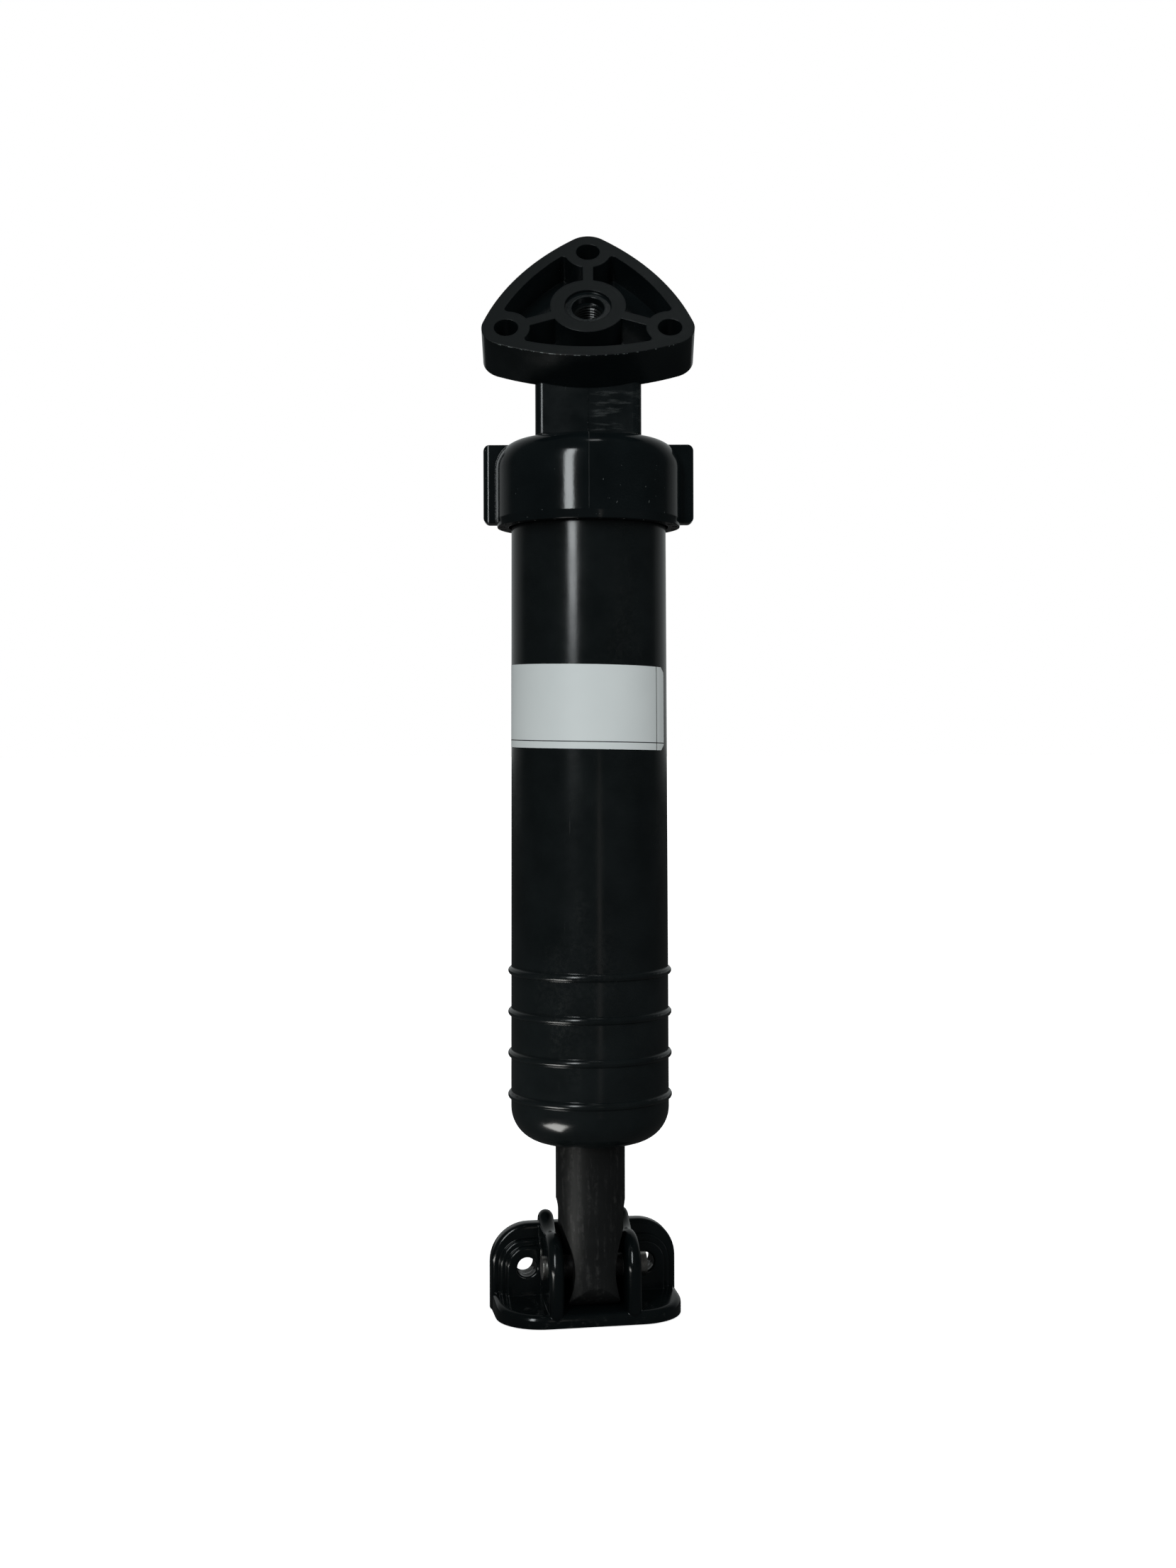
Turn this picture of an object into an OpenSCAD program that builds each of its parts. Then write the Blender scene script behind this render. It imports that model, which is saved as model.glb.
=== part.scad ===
// Hydraulic trim tab actuator, upright, with the boat's transom in front of it.
// Each piece is laid out about the pivot of the upper hinge, with the barrel
// hanging straight down from it. The finished part is then shifted, so that the
// origin lies on the hose port's axis, at the outer end of its thread.

/* [Upper hinge] */
// Tilt of the mounting face's normal above the horizontal, in degrees
face_tilt = 36; // [30:0.5:42]
// Height of the hose port above the pivot, measured along the mounting face
port_rise = 12; // [11:0.1:13]
// Distance of the mounting face from the pivot
face_reach = 18.6; // [18:0.1:20]
// Thickness of the flange
flange_thickness = 10.7; // [10:0.1:11.5]
// Height of the top screw hole above the port
top_hole_rise = 19.6; // [19:0.1:21]
// Drop of the two lower screw holes below the port
low_hole_drop = 7.7; // [7:0.1:8.5]
// Distance between the two lower screw holes
low_hole_spacing = 39.2; // [38:0.1:41]
// Width of each screw hole in the flange
flange_hole_diameter = 5.8; // [5:0.1:6.2]
// Radius of the flange's corners
flange_corner_radius = 5.9; // [5.6:0.1:6.4]
// Radius of the flange's bowed sides
flange_side_radius = 60; // [50:1:80]
// Width of the rim round the cored pockets
rim_wall = 3; // [2.4:0.1:3.4]
// Radius of the boss round each screw hole
screw_boss_radius = 5.7; // [5:0.1:5.8]
// Width of the three ribs
rib_width = 2.6; // [2:0.1:3.2]
// Depth of the cored pockets
pocket_depth = 8; // [6:0.1:8.6]
// Radius in the corners of the pockets
pocket_corner_radius = 1; // [0.6:0.1:1.3]
// Width of the boss round the hose port
port_boss_diameter = 18.4; // [17:0.1:19.5]

/* [Hose port] */
// Width of the shallow recess round the port
port_recess_diameter = 11.3; // [10.5:0.1:12]
// Depth of the shallow recess
port_recess_depth = 0.8; // [0.4:0.1:1.2]
// Width of the plain mouth above the thread
port_mouth_diameter = 7.9; // [7.6:0.1:8.2]
// Depth of the plain mouth
port_mouth_depth = 2; // [1.5:0.1:2.5]
// Width of the threaded hole at the crests
port_thread_diameter = 7.1; // [6.8:0.1:7.4]
// Length of the thread
port_thread_length = 6; // [5:0.1:6.1]
// Width of the drilled end below the thread
port_end_diameter = 5.8; // [5:0.1:6.4]
// Length of the drilled end
port_end_length = 3; // [2.6:0.1:3.4]
// Width of the oil passages
passage_diameter = 1.8; // [1.4:0.1:1.9]

/* [Neck and pivot] */
// Width of the neck across its two cheeks
neck_width = 25.6; // [25:0.1:27]
// Distance of the neck's flat front from the pivot
neck_front = 9.6; // [9.4:0.1:10.2]
// Radius of the neck's round underside about the pivot
neck_under_radius = 10.4; // [9.8:0.1:10.6]
// Radius of the neck's two front edges
neck_edge_radius = 2; // [1:0.1:2.5]
// Height of the neck's straight back above the pivot
neck_back_height = 3; // [2:0.1:5]
// Width of the slot between the cheeks
slot_width = 16; // [15:0.1:17]
// Radius of the slot about the pivot
slot_radius = 7.3; // [7.1:0.1:7.6]
// Width of each hinge pin
hinge_pin_diameter = 6; // [5:0.1:6.4]
// How far each hinge pin's outer end lies below the cheek
hinge_pin_inset = 0.4; // [0.1:0.1:0.8]
// Gap between the inner ends of the two hinge pins
hinge_pin_gap = 6.4; // [5.5:0.1:7]
// Width of the groove for the ring on each hinge pin
pin_groove_width = 1.4; // [1.2:0.1:1.6]
// Thickness of the rubber ring on each hinge pin
pin_ring_thickness = 0.9; // [0.7:0.05:1]

/* [End cap] */
// Drop of the cap's top below the pivot
cap_top_drop = 11; // [10.9:0.1:11.5]
// Width of the end cap
cap_diameter = 45.4; // [44.8:0.1:46.5]
// Height of the end cap
cap_height = 21.1; // [20:0.1:22]
// Radius of the cap's shoulder
cap_shoulder_radius = 7; // [5:0.1:7.5]
// Height of the tapered band at the cap's lower edge
cap_band_height = 2; // [1.5:0.1:2.5]
// How far the band draws in at the lower edge
cap_band_taper = 0.4; // [0.2:0.1:0.6]
// Distance across the two grip wings
wing_span = 51.4; // [50.5:0.1:53]
// Height of each grip wing
wing_height = 19.1; // [17:0.1:19.4]
// Thickness of each grip wing
wing_thickness = 5.2; // [4:0.1:7]
// Radius of the wings' edges
wing_edge_radius = 1.5; // [1:0.1:2]
// Drop of the wings below the cap's top
wing_drop = 1.1; // [0.8:0.1:1.4]
// Side clearance of the hinge tongue in its slot
tongue_side_clearance = 0.15; // [0.1:0.05:0.25]
// Radius of the tongue about the pivot
tongue_radius = 6.6; // [6:0.1:6.9]
// Radial clearance of the hinge pins in the tongue
pin_running_clearance = 0.05; // [0.03:0.01:0.08]
// Thickness of the cap's end wall
cap_end_wall = 4.5; // [4:0.1:5.5]
// Length of the plug that closes the barrel
plug_length = 6.5; // [6:0.1:7.5]
// Number of cored notches under the cap
notch_count = 24; // [16:1:28]
// Width of each cored notch
notch_diameter = 1.6; // [1.2:0.1:1.8]
// Depth of each cored notch
notch_depth = 3; // [2:0.1:3.5]
// Thickness of the rubber ring that seals the cap
cap_ring_thickness = 1.5; // [1.3:0.05:1.8]

/* [Barrel] */
// Length of the barrel below the cap
barrel_length = 149.8; // [140:0.5:165]
// Width of the barrel where it leaves the cap
barrel_top_diameter = 37.76; // [37.4:0.02:38]
// How much wider the barrel is at its lower end
barrel_taper = 0.9; // [0.6:0.1:1.2]
// Width of the threaded neck inside the cap
barrel_thread_diameter = 37.2; // [36.8:0.1:37.4]
// Width of the bore
bore_diameter = 31.8; // [31:0.1:32.2]
// Radius of the round lower end
barrel_end_radius = 8.4; // [7.5:0.1:9]
// Thickness of the end wall
barrel_end_wall = 5; // [4.5:0.1:6]
// Height of the lowest bead above the barrel's end
bead_first_height = 11.3; // [10.5:0.1:12]
// Distance from bead to bead
bead_spacing = 10.1; // [9.5:0.1:10.5]
// Number of beads
bead_count = 4; // [3:1:5]
// Thickness of each bead
bead_thickness = 1.9; // [1.6:0.1:2.2]
// How far each bead stands out
bead_height = 0.75; // [0.5:0.05:0.9]
// Height of the guide boss inside the barrel's end
guide_boss_height = 12; // [10:0.5:14]
// Wall of the guide boss
guide_boss_wall = 2.4; // [2:0.1:2.8]
// Space between the barrel's wall and the cap at its mouth
cap_mouth_gap = 0.7; // [0.5:0.1:0.9]

/* [Ram and piston] */
// Width of the ram
ram_diameter = 17; // [16.4:0.1:17.4]
// Drop of the lower pin below the barrel's end
lower_pin_drop = 31.1; // [30:0.1:33]
// Turn of the ram and the lower hinge about the barrel's axis, in degrees
ram_turn = 10; // [8:0.5:12]
// Stroke of the ram
stroke = 57; // [50:1:60]
// Height of the piston
piston_height = 16; // [15:0.5:18]
// Space between the cap's plug and the piston
piston_top_gap = 2; // [1.5:0.1:3]
// Radial clearance of the piston in the bore
piston_clearance = 0.1; // [0.05:0.01:0.15]
// Width of the ram's threaded end
ram_stud_diameter = 8; // [7:0.1:8.5]
// Width across the flats of the piston nut
nut_width = 13; // [12.5:0.1:14]
// Thickness of the piston nut
nut_thickness = 4.6; // [4:0.1:5]
// Thickness of the washer under the nut
washer_thickness = 1.4; // [1:0.1:1.6]
// Width of the recess in the piston's top
nut_recess_diameter = 18; // [17:0.1:19]
// Thickness of the piston seal
piston_seal_thickness = 2.2; // [1.8:0.1:2.6]
// Height of the piston seal
piston_seal_height = 3; // [2.5:0.1:3.5]
// Thickness of the wear ring
wear_ring_thickness = 1.5; // [1.2:0.1:2]
// Height of the wear ring
wear_ring_height = 4; // [3:0.1:4.5]
// Radial clearance of the ram in its bush
ram_running_clearance = 0.06; // [0.03:0.01:0.1]
// Wall of the ram bush
bush_wall = 2.6; // [2.2:0.1:3]
// Thickness of the flange on the ram bush
bush_flange_thickness = 1.6; // [1.2:0.1:2]
// Height of the ram wiper
wiper_height = 3; // [2.5:0.1:3.2]
// Wall of the ram wiper
wiper_wall = 2; // [1.6:0.1:2.2]
// Thickness of the seat under the piston
spring_seat_thickness = 1.6; // [1.2:0.1:2]

/* [Return spring] */
// Thickness of the spring wire
wire_diameter = 2.8; // [2.4:0.1:3]
// Mean width of the coils
coil_diameter = 24.2; // [23.5:0.1:25]
// Number of coils
coil_count = 20; // [18:1:20]

/* [Ram eye] */
// Thickness of the ram between its two side flats
ram_flat_thickness = 14.8; // [14:0.1:15]
// Height of the side flats above the pin
ram_flat_height = 13; // [12:0.5:15]
// Radius of the run-out above each side flat
ram_flat_runout = 8.3; // [6:0.1:10]
// Thickness of the eye between its spot faces
eye_thickness = 10; // [9:0.1:11]
// Width of each spot face
eye_face_diameter = 13.7; // [12:0.1:14.5]
// Radius of the ram's round end about the pin
eye_end_radius = 9.1; // [8.8:0.1:9.3]

/* [Lower hinge] */
// Width of the lower hinge
bracket_width = 46.8; // [45:0.1:48]
// Height of the back plate above the pin
plate_rise = 8; // [7:0.1:9]
// Distance of the back plate's front from the pin
plate_front = 9.3; // [9.2:0.1:10]
// Thickness of the back plate
plate_thickness = 4.6; // [4:0.1:5.5]
// Radius of the back plate's upper corners
plate_corner_radius = 11; // [9:0.5:12]
// Radius of the plate's front edge
plate_edge_radius = 1.2; // [0.8:0.1:1.5]
// Distance of the foot's upper face below the pin
foot_drop = 9.5; // [9.4:0.1:10.2]
// Thickness of the foot
foot_thickness = 3.1; // [2.8:0.1:3.6]
// Radius of the foot's upper edge
foot_edge_radius = 1.4; // [1:0.1:1.5]
// Distance of the foot's front edge from the pin
foot_front = 8.4; // [8:0.1:9.5]
// Radius of the foot's front corners
foot_corner_radius = 11.5; // [9:0.5:12]
// Distance between the two ears
ear_gap = 15.3; // [15.2:0.1:16]
// Thickness of each ear
ear_thickness = 3.7; // [3.2:0.1:4]
// Radius of the ears' noses about the pin
ear_nose_radius = 8.2; // [7.8:0.1:8.6]
// Height of the ears' back ends above the pin
ear_back_rise = 11.5; // [11:0.1:12.5]
// Radius of the ears' back ends
ear_back_radius = 3.3; // [3:0.1:3.5]
// Radius of the hollow between nose and back end
ear_hollow_radius = 3; // [2:0.1:4]
// Distance between the two screw holes
tab_hole_spacing = 30.8; // [29:0.1:33]
// Drop of the screw holes below the pin
tab_hole_drop = 0.8; // [0:0.1:1.5]
// Width of each screw hole
tab_hole_diameter = 4.8; // [4:0.1:5.2]
// Radius of the outer step round each screw hole
step_outer_radius = 6.9; // [6.2:0.1:7.2]
// Drop in radius from step to step
step_width = 1.4; // [1:0.1:1.6]
// Depth of each step
step_depth = 0.7; // [0.5:0.1:0.9]
// Width of the lower hinge pin
lower_pin_diameter = 5.8; // [5.4:0.1:6]
// Length of the lower hinge pin
lower_pin_length = 25.8; // [25:0.1:27]
// How far the lower pin is driven to one side
lower_pin_shift = 0.8; // [0:0.1:1]
// Radial clearance of the lower pin in the ram
lower_pin_clearance = 0.06; // [0.03:0.01:0.09]

/* [Hidden] */
$fn = 64;
overrun = 0.5;
snug_gap = 0.02;
seal_gap = 0.05;
spring_end_gap = 0.05;
join_margin = 0.01;

// Mounting face
port_y = port_rise * sin(face_tilt) - face_reach * cos(face_tilt);
port_z = port_rise * cos(face_tilt) + face_reach * sin(face_tilt);
low_hole_x = low_hole_spacing / 2;
top_hole = [0, top_hole_rise];
left_hole = [-low_hole_x, -low_hole_drop];
right_hole = [low_hole_x, -low_hole_drop];
screw_holes = [top_hole, left_hole, right_hole];
port_mouth_end = port_recess_depth + port_mouth_depth;
origin_y = port_y + port_mouth_end * cos(face_tilt);
origin_z = port_z - port_mouth_end * sin(face_tilt);
port_thread_end = port_mouth_end + port_thread_length;
port_bottom = port_thread_end + port_end_length;
flange_floor = flange_thickness - pocket_depth;
neck_top_rise = port_rise - top_hole_rise / 6;

// Pivot
cheek_width = (neck_width - slot_width) / 2;
pin_radius = hinge_pin_diameter / 2;
pin_inner_end = hinge_pin_gap / 2;
pin_outer_end = neck_width / 2 - hinge_pin_inset;
pin_ring_radius = pin_radius - pin_ring_thickness / 2 + seal_gap / 2;
pin_groove_radius = pin_ring_radius - pin_ring_thickness / 2 - snug_gap;
pin_groove_place = (pin_inner_end + slot_width / 2) / 2;
cheek_middle = (slot_width + cheek_width) / 2;
cross_z = port_z + port_y * tan(face_tilt);
down_passage_diameter = passage_diameter - seal_gap;

// End cap
cap_radius = cap_diameter / 2;
cap_bottom = -cap_top_drop - cap_height;
cap_wall_inside = -cap_top_drop - cap_end_wall;
tongue_width = slot_width - 2 * tongue_side_clearance;
plug_radius = bore_diameter / 2 - piston_clearance;
plug_end = cap_wall_inside - plug_length;
cap_ring_radius = bore_diameter / 2 - seal_gap - cap_ring_thickness / 2;
cap_groove_radius = cap_ring_radius - cap_ring_thickness / 2 - snug_gap;
cap_groove_height = cap_ring_thickness + 2 * seal_gap;
cap_groove_middle = cap_wall_inside - plug_length / 2;
cap_mouth_radius = barrel_top_diameter / 2 + cap_mouth_gap;
cap_mouth_depth = notch_depth + notch_diameter;
notch_place = (cap_mouth_radius + cap_radius) / 2;

// Barrel
thread_radius = barrel_thread_diameter / 2;
barrel_top_radius = barrel_top_diameter / 2;
barrel_low_radius = barrel_top_radius + barrel_taper / 2;
barrel_end = cap_bottom - barrel_length;
barrel_round_start = barrel_end + barrel_end_radius;
barrel_shoulder = cap_bottom + cap_mouth_depth - snug_gap;
barrel_top = cap_wall_inside - snug_gap;
bore_floor = barrel_end + barrel_end_wall;
guide_boss_top = bore_floor + guide_boss_height;
ram_radius = ram_diameter / 2;
bush_radius = ram_radius + ram_running_clearance + bush_wall;
wiper_radius = ram_radius + ram_running_clearance + wiper_wall;
end_lip = (barrel_end_wall - wiper_height);
bush_floor = barrel_end + end_lip + wiper_height;
guide_boss_radius = bush_radius + guide_boss_wall;

// Piston and ram
piston_top = plug_end - piston_top_gap;
piston_bottom = piston_top - piston_height;
piston_radius = bore_diameter / 2 - piston_clearance;
stud_radius = ram_stud_diameter / 2;
nut_recess_depth = nut_thickness + washer_thickness + piston_top_gap / 2;
nut_recess_floor = piston_top - nut_recess_depth;
seal_outer_radius = bore_diameter / 2 - seal_gap;
seal_inner_radius = seal_outer_radius - piston_seal_thickness;
wear_inner_radius = seal_outer_radius - wear_ring_thickness;
seal_middle = piston_top - piston_height / 4;
wear_middle = piston_bottom + piston_height / 4;
seat_radius = coil_diameter / 2 + wire_diameter;
seat_bottom = piston_bottom - spring_seat_thickness;
bush_flange_top = guide_boss_top + bush_flange_thickness;
lower_pin = barrel_end - lower_pin_drop;
eye_cone_slope = tan(58.6);
eye_cone_depth = ram_radius - eye_thickness / 2 + overrun;

// Lower hinge
bracket_half = bracket_width / 2;
plate_back = plate_front + plate_thickness;
foot_bottom = foot_drop + foot_thickness;
ear_edge = ear_thickness / 2;
ear_middle = ear_gap / 2 + ear_edge;
ear_back_place = plate_back - ear_back_radius;
ear_back_height = ear_back_rise - ear_back_radius;
tab_hole_place = tab_hole_spacing / 2;

// The point where two circles cross, to the left (1) or right (-1) of the line between centres
function circle_meet(a, ra, b, rb, side) =
    let (
        span = norm(b - a),
        along = (ra * ra - rb * rb + span * span) / (2 * span),
        off = sqrt(ra * ra - along * along),
        way = (b - a) / span
    )
    a + along * way + side * off * [-way[1], way[0]];

// The centre of the bowed side that touches the corner circles at a and b from outside.
// Wherever two arcs run into each other, a small margin makes them cross cleanly.
function side_centre(a, b) =
    let (
        span = norm(b - a),
        way = (b - a) / span,
        reach = flange_side_radius - flange_corner_radius
    )
    (a + b) / 2 + sqrt(reach * reach - span * span / 4) * [way[1], -way[0]];

// Moves a point away from another by a share of the distance between them
function pushed(point, from, share) = point + share * (point - from);

// A square with its corners rounded
module rounded_square(width, height, radius) {
    square([width - 2 * radius, height], center = true);
    square([width, height - 2 * radius], center = true);
    for (x = [-1, 1], y = [-1, 1])
        translate([x * (width / 2 - radius), y * (height / 2 - radius)])
            circle(r = radius);
}

// A round ring with a circular section
module round_ring(radius, thickness) {
    rotate_extrude()
        translate([radius, 0])
            circle(d = thickness, $fn = 32);
}

// A flat ring between two radii
module flat_ring(outer, inner, height) {
    difference() {
        cylinder(r = outer, h = height);
        translate([0, 0, -overrun])
            cylinder(r = inner, h = height + 2 * overrun);
    }
}

// Turns a shape's Z axis onto X
module along_x() {
    rotate([0, 90, 0])
        children();
}

// Extrudes a profile drawn in Y and Z along X
module extrude_along_x(length) {
    rotate([90, 0, 90])
        linear_extrude(height = length, center = true)
            children();
}

// Lays a shape on the mounting face: X to the right, Y up the face, Z out of it
module on_mounting_face() {
    translate([0, port_y, port_z])
        rotate([90 - face_tilt, 0, 0])
            children();
}

// Lays a shape at the lower pin, turned with the ram
module at_lower_pin() {
    translate([0, 0, lower_pin])
        rotate([0, 0, ram_turn])
            children();
}

// Moves the layout about the pivot to the part's own origin
module in_part_frame() {
    translate([0, -origin_y, -origin_z])
        children();
}

// Triangle with round corners and bowed sides, drawn in by a wall
module flange_outline(wall) {
    polygon(screw_holes);
    for (hole = screw_holes)
        translate(hole)
            circle(r = flange_corner_radius - wall, $fn = 48);
    for (i = [0:2])
        bowed_side(screw_holes[i], screw_holes[(i + 1) % 3], wall);
}

module bowed_side(a, b, wall) {
    centre = side_centre(b, a);
    intersection() {
        translate(centre)
            circle(r = flange_side_radius - wall - join_margin, $fn = 180);
        polygon([a, pushed(a, centre, 1), pushed(b, centre, 1), b]);
    }
}

// Rounds the corner of a pocket between the rim and a screw boss
module pocket_fillet(hole, other, side) {
    centre = side > 0 ? side_centre(other, hole) : side_centre(hole, other);
    rim = flange_side_radius - rim_wall;
    heart = circle_meet(
        centre, rim - pocket_corner_radius,
        hole, screw_boss_radius + pocket_corner_radius, side
    );
    corner = circle_meet(centre, rim, hole, screw_boss_radius, side);
    on_rim = centre + (heart - centre) * rim / norm(heart - centre);
    on_boss = hole + (heart - hole) * screw_boss_radius / norm(heart - hole);
    difference() {
        polygon([
            heart, on_rim, pushed(on_rim, heart, 0.5), pushed(corner, heart, 0.5),
            pushed(on_boss, heart, 0.5), on_boss
        ]);
        translate(heart)
            circle(r = pocket_corner_radius + join_margin, $fn = 32);
    }
}

module flange_pockets() {
    difference() {
        flange_outline(rim_wall);
        circle(d = port_boss_diameter, $fn = 96);
        for (i = [0:2]) {
            hole = screw_holes[i];
            after = screw_holes[(i + 1) % 3];
            before = screw_holes[(i + 2) % 3];
            translate(hole)
                circle(r = screw_boss_radius, $fn = 48);
            rotate([0, 0, atan2(hole[1], hole[0])])
                translate([0, -rib_width / 2])
                    square([norm(hole), rib_width]);
            pocket_fillet(hole, after, 1);
            pocket_fillet(hole, before, -1);
        }
    }
}

// Side view of the neck, in Y and Z about the pivot
module neck_side() {
    face_back = flange_thickness - flange_floor / 2;
    back_y = port_y + neck_top_rise * sin(face_tilt);
    back_z = port_z + neck_top_rise * cos(face_tilt);
    low_rise = low_hole_drop + flange_corner_radius;
    circle(r = neck_under_radius, $fn = 96);
    polygon([
        [-neck_front, -neck_under_radius],
        [0, -neck_under_radius],
        [neck_under_radius, 0],
        [neck_under_radius, neck_back_height],
        [back_y + flange_thickness * cos(face_tilt), back_z - flange_thickness * sin(face_tilt)],
        [back_y + face_back * cos(face_tilt), back_z - face_back * sin(face_tilt)],
        [
            port_y - low_rise * sin(face_tilt) + face_back * cos(face_tilt),
            port_z - low_rise * cos(face_tilt) - face_back * sin(face_tilt)
        ],
        [-neck_front, (port_z - flange_thickness * sin(face_tilt)) * cos(face_tilt) / 4]
    ]);
}

// The slot that the cap's tongue swings in, open below and behind
module neck_slot() {
    extrude_along_x(slot_width) {
        circle(r = slot_radius, $fn = 96);
        translate([-slot_radius, -neck_under_radius - overrun])
            square([slot_radius, neck_under_radius + overrun]);
        translate([0, -neck_under_radius - overrun])
            square([
                neck_under_radius + overrun,
                neck_under_radius + overrun + slot_radius
            ]);
    }
}

module neck() {
    depth = neck_front + neck_under_radius;
    intersection() {
        extrude_along_x(neck_width)
            neck_side();
        translate([0, depth / 2 - neck_front + neck_edge_radius, 0])
            linear_extrude(height = 4 * depth, center = true)
                rounded_square(neck_width, depth + 2 * neck_edge_radius, neck_edge_radius);
    }
}

module port_bore() {
    translate([0, 0, -port_recess_depth])
        cylinder(d = port_recess_diameter, h = port_recess_depth + overrun);
    translate([0, 0, -port_mouth_end])
        cylinder(d = port_mouth_diameter, h = port_mouth_end);
    translate([0, 0, -port_thread_end])
        cylinder(d = port_thread_diameter, h = port_thread_end);
    translate([0, 0, -port_bottom])
        cylinder(d = port_end_diameter, h = port_bottom);
}

// Oil way from the port's end across to the right cheek and down to its pin
module hinge_passages() {
    translate([0, 0, cross_z])
        along_x()
            cylinder(d = passage_diameter, h = cheek_middle + passage_diameter);
    translate([cheek_middle, 0, 0])
        cylinder(d = down_passage_diameter, h = cross_z);
}

module upper_hinge() {
    color("dimgray")
        in_part_frame()
            difference() {
                union() {
                    on_mounting_face()
                        translate([0, 0, -flange_thickness])
                            linear_extrude(height = flange_thickness)
                                flange_outline(0);
                    neck();
                }
                on_mounting_face() {
                    translate([0, 0, -pocket_depth])
                        linear_extrude(height = pocket_depth + overrun)
                            flange_pockets();
                    for (hole = screw_holes)
                        translate([hole[0], hole[1], -flange_thickness - overrun])
                            cylinder(d = flange_hole_diameter, h = flange_thickness + 2 * overrun);
                    port_bore();
                }
                neck_slot();
                along_x()
                    cylinder(d = hinge_pin_diameter, h = neck_width + overrun, center = true);
                hinge_passages();
            }
}

module upper_hinge_pins() {
    color("gainsboro")
        in_part_frame()
            for (side = [-1, 1])
                difference() {
                    translate([side * (pin_inner_end + pin_outer_end) / 2, 0, 0])
                        along_x()
                            cylinder(d = hinge_pin_diameter, h = pin_outer_end - pin_inner_end, center = true);
                    translate([side * pin_groove_place, 0, 0])
                        along_x()
                            difference() {
                                cylinder(d = hinge_pin_diameter + overrun, h = pin_groove_width, center = true);
                                cylinder(r = pin_groove_radius, h = pin_groove_width + overrun, center = true);
                            }
                    if (side > 0) {
                        along_x()
                            cylinder(d = passage_diameter, h = cheek_middle);
                        translate([cheek_middle, 0, 0])
                            cylinder(d = down_passage_diameter, h = hinge_pin_diameter);
                    }
                }
}

module hinge_pin_seals() {
    color("black")
        in_part_frame()
            for (side = [-1, 1])
                translate([side * pin_groove_place, 0, 0])
                    along_x()
                        round_ring(pin_ring_radius, pin_ring_thickness - seal_gap);
}

module cap_shell() {
    band_top = cap_bottom + cap_band_height;
    rotate_extrude($fn = 128)
        union() {
            translate([0, band_top])
                square([cap_radius, -cap_top_drop - cap_shoulder_radius - band_top]);
            translate([0, band_top])
                square([cap_radius - cap_shoulder_radius, -cap_top_drop - band_top]);
            translate([cap_radius - cap_shoulder_radius, -cap_top_drop - cap_shoulder_radius])
                circle(r = cap_shoulder_radius);
            polygon([
                [0, cap_bottom],
                [cap_radius - cap_band_taper, cap_bottom],
                [cap_radius, band_top],
                [0, band_top]
            ]);
        }
}

module grip_wings() {
    middle = -cap_top_drop - wing_drop - wing_height / 2;
    intersection() {
        translate([0, 0, middle])
            rotate([90, 0, 0])
                linear_extrude(height = wing_thickness, center = true)
                    rounded_square(wing_span, wing_height, wing_edge_radius);
        translate([0, 0, middle])
            linear_extrude(height = wing_height, center = true)
                rounded_square(wing_span, wing_thickness, wing_edge_radius);
    }
}

module cap_tongue() {
    extrude_along_x(tongue_width) {
        circle(r = tongue_radius, $fn = 96);
        translate([-tongue_radius, -cap_top_drop - cap_end_wall / 2])
            square([2 * tongue_radius, cap_top_drop + cap_end_wall / 2]);
    }
}

module end_cap() {
    color("darkslategray")
        in_part_frame()
            difference() {
                union() {
                    difference() {
                        union() {
                            cap_shell();
                            grip_wings();
                        }
                        translate([0, 0, cap_bottom - overrun])
                            cylinder(
                                r = thread_radius + snug_gap,
                                h = cap_wall_inside - cap_bottom + overrun,
                                $fn = 96
                            );
                        translate([0, 0, cap_bottom - overrun])
                            cylinder(r = cap_mouth_radius, h = cap_mouth_depth + overrun, $fn = 96);
                        for (i = [0:notch_count - 1])
                            rotate([0, 0, (i + 0.5) * 360 / notch_count])
                                translate([notch_place, 0, cap_bottom - overrun])
                                    cylinder(d = notch_diameter, h = notch_depth + overrun, $fn = 24);
                    }
                    cap_tongue();
                    translate([0, 0, plug_end])
                        cylinder(r = plug_radius, h = plug_length + cap_end_wall / 2);
                }
                translate([0, 0, cap_groove_middle - cap_groove_height / 2])
                    difference() {
                        cylinder(r = plug_radius + overrun, h = cap_groove_height);
                        cylinder(r = cap_groove_radius, h = cap_groove_height);
                    }
                along_x()
                    cylinder(r = pin_radius + pin_running_clearance, h = slot_width, center = true);
                translate([0, 0, plug_end - overrun])
                    cylinder(d = passage_diameter, h = -plug_end + overrun);
            }
}

module cap_seal() {
    color("black")
        in_part_frame()
            translate([0, 0, cap_groove_middle])
                round_ring(cap_ring_radius, cap_ring_thickness);
}

// Outer radius of the tapered barrel at a height
function barrel_radius(z) =
    barrel_low_radius + (barrel_top_radius - barrel_low_radius)
    * (z - barrel_round_start) / (barrel_shoulder - barrel_round_start);

module barrel_outside() {
    round_in = barrel_low_radius - barrel_end_radius;
    rotate_extrude($fn = 128) {
        polygon([
            [0, barrel_round_start],
            [barrel_low_radius, barrel_round_start],
            [barrel_top_radius, barrel_shoulder],
            [thread_radius, barrel_shoulder],
            [thread_radius, barrel_top],
            [0, barrel_top]
        ]);
        translate([0, barrel_end])
            square([round_in, barrel_end_radius]);
        intersection() {
            translate([round_in, barrel_round_start])
                circle(r = barrel_end_radius);
            translate([0, barrel_end])
                square([barrel_low_radius, barrel_end_radius]);
        }
    }
}

module barrel_beads() {
    for (i = [0:bead_count - 1]) {
        z = barrel_end + bead_first_height + i * bead_spacing;
        translate([0, 0, z])
            rotate_extrude($fn = 128)
                translate([barrel_radius(z) + bead_height - bead_thickness / 2, 0])
                    circle(d = bead_thickness, $fn = 24);
    }
}

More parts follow.
